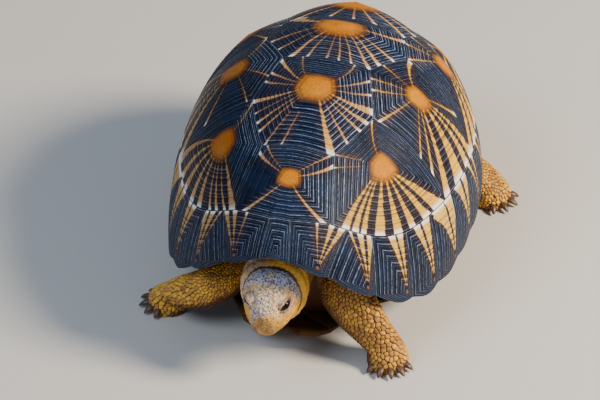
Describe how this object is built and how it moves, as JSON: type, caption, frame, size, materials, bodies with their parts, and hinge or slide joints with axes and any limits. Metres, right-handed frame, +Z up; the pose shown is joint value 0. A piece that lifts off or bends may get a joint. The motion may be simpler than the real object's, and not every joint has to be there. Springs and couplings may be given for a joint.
{
  "type": "radiated tortoise, still model",
  "caption": "Life-size still model of an adult radiated tortoise standing with its head lowered; domed shell of separate scutes, flat soles.",
  "frame": {"origin": "on the floor, under the middle of the whole body's bounding box", "axes": "+Z up; the head faces -Y, so +Y runs from head to tail; +X is the animal's left"},
  "size_m": [0.2598, 0.3279, 0.1839],
  "materials": {
    "carapace": "satin horn",
    "plastron": "satin horn",
    "skin": "dry scaly skin",
    "eye": "wet gloss"
  },
  "bodies": {
    "root": {"nuchal": "carapace", "supracaudal": "carapace", "vertebral_1": "carapace", "vertebral_2": "carapace", "vertebral_3": "carapace", "vertebral_4": "carapace", "vertebral_5": "carapace", "costal_left_1": "carapace", "costal_left_2": "carapace", "costal_left_3": "carapace", "costal_left_4": "carapace", "marginal_left_1": "carapace", "marginal_left_2": "carapace", "marginal_left_3": "carapace", "marginal_left_4": "carapace", "marginal_left_5": "carapace", "marginal_left_6": "carapace", "marginal_left_7": "carapace", "marginal_left_8": "carapace", "marginal_left_9": "carapace", "marginal_left_10": "carapace", "marginal_left_11": "carapace", "costal_right_1": "carapace", "costal_right_2": "carapace", "costal_right_3": "carapace", "costal_right_4": "carapace", "marginal_right_1": "carapace", "marginal_right_2": "carapace", "marginal_right_3": "carapace", "marginal_right_4": "carapace", "marginal_right_5": "carapace", "marginal_right_6": "carapace", "marginal_right_7": "carapace", "marginal_right_8": "carapace", "marginal_right_9": "carapace", "marginal_right_10": "carapace", "marginal_right_11": "carapace", "gular_left": "plastron", "gular_right": "plastron", "humeral_left": "plastron", "humeral_right": "plastron", "pectoral_left": "plastron", "pectoral_right": "plastron", "abdominal_left": "plastron", "abdominal_right": "plastron", "femoral_left": "plastron", "femoral_right": "plastron", "anal_left": "plastron", "anal_right": "plastron", "head": "skin", "neck": "skin", "trunk": "skin", "tail": "skin", "foreleg_left": "skin", "foreleg_right": "skin", "hindleg_left": "skin", "hindleg_right": "skin", "eye_left": "eye", "eye_right": "eye"}
  },
  "joints": []
}
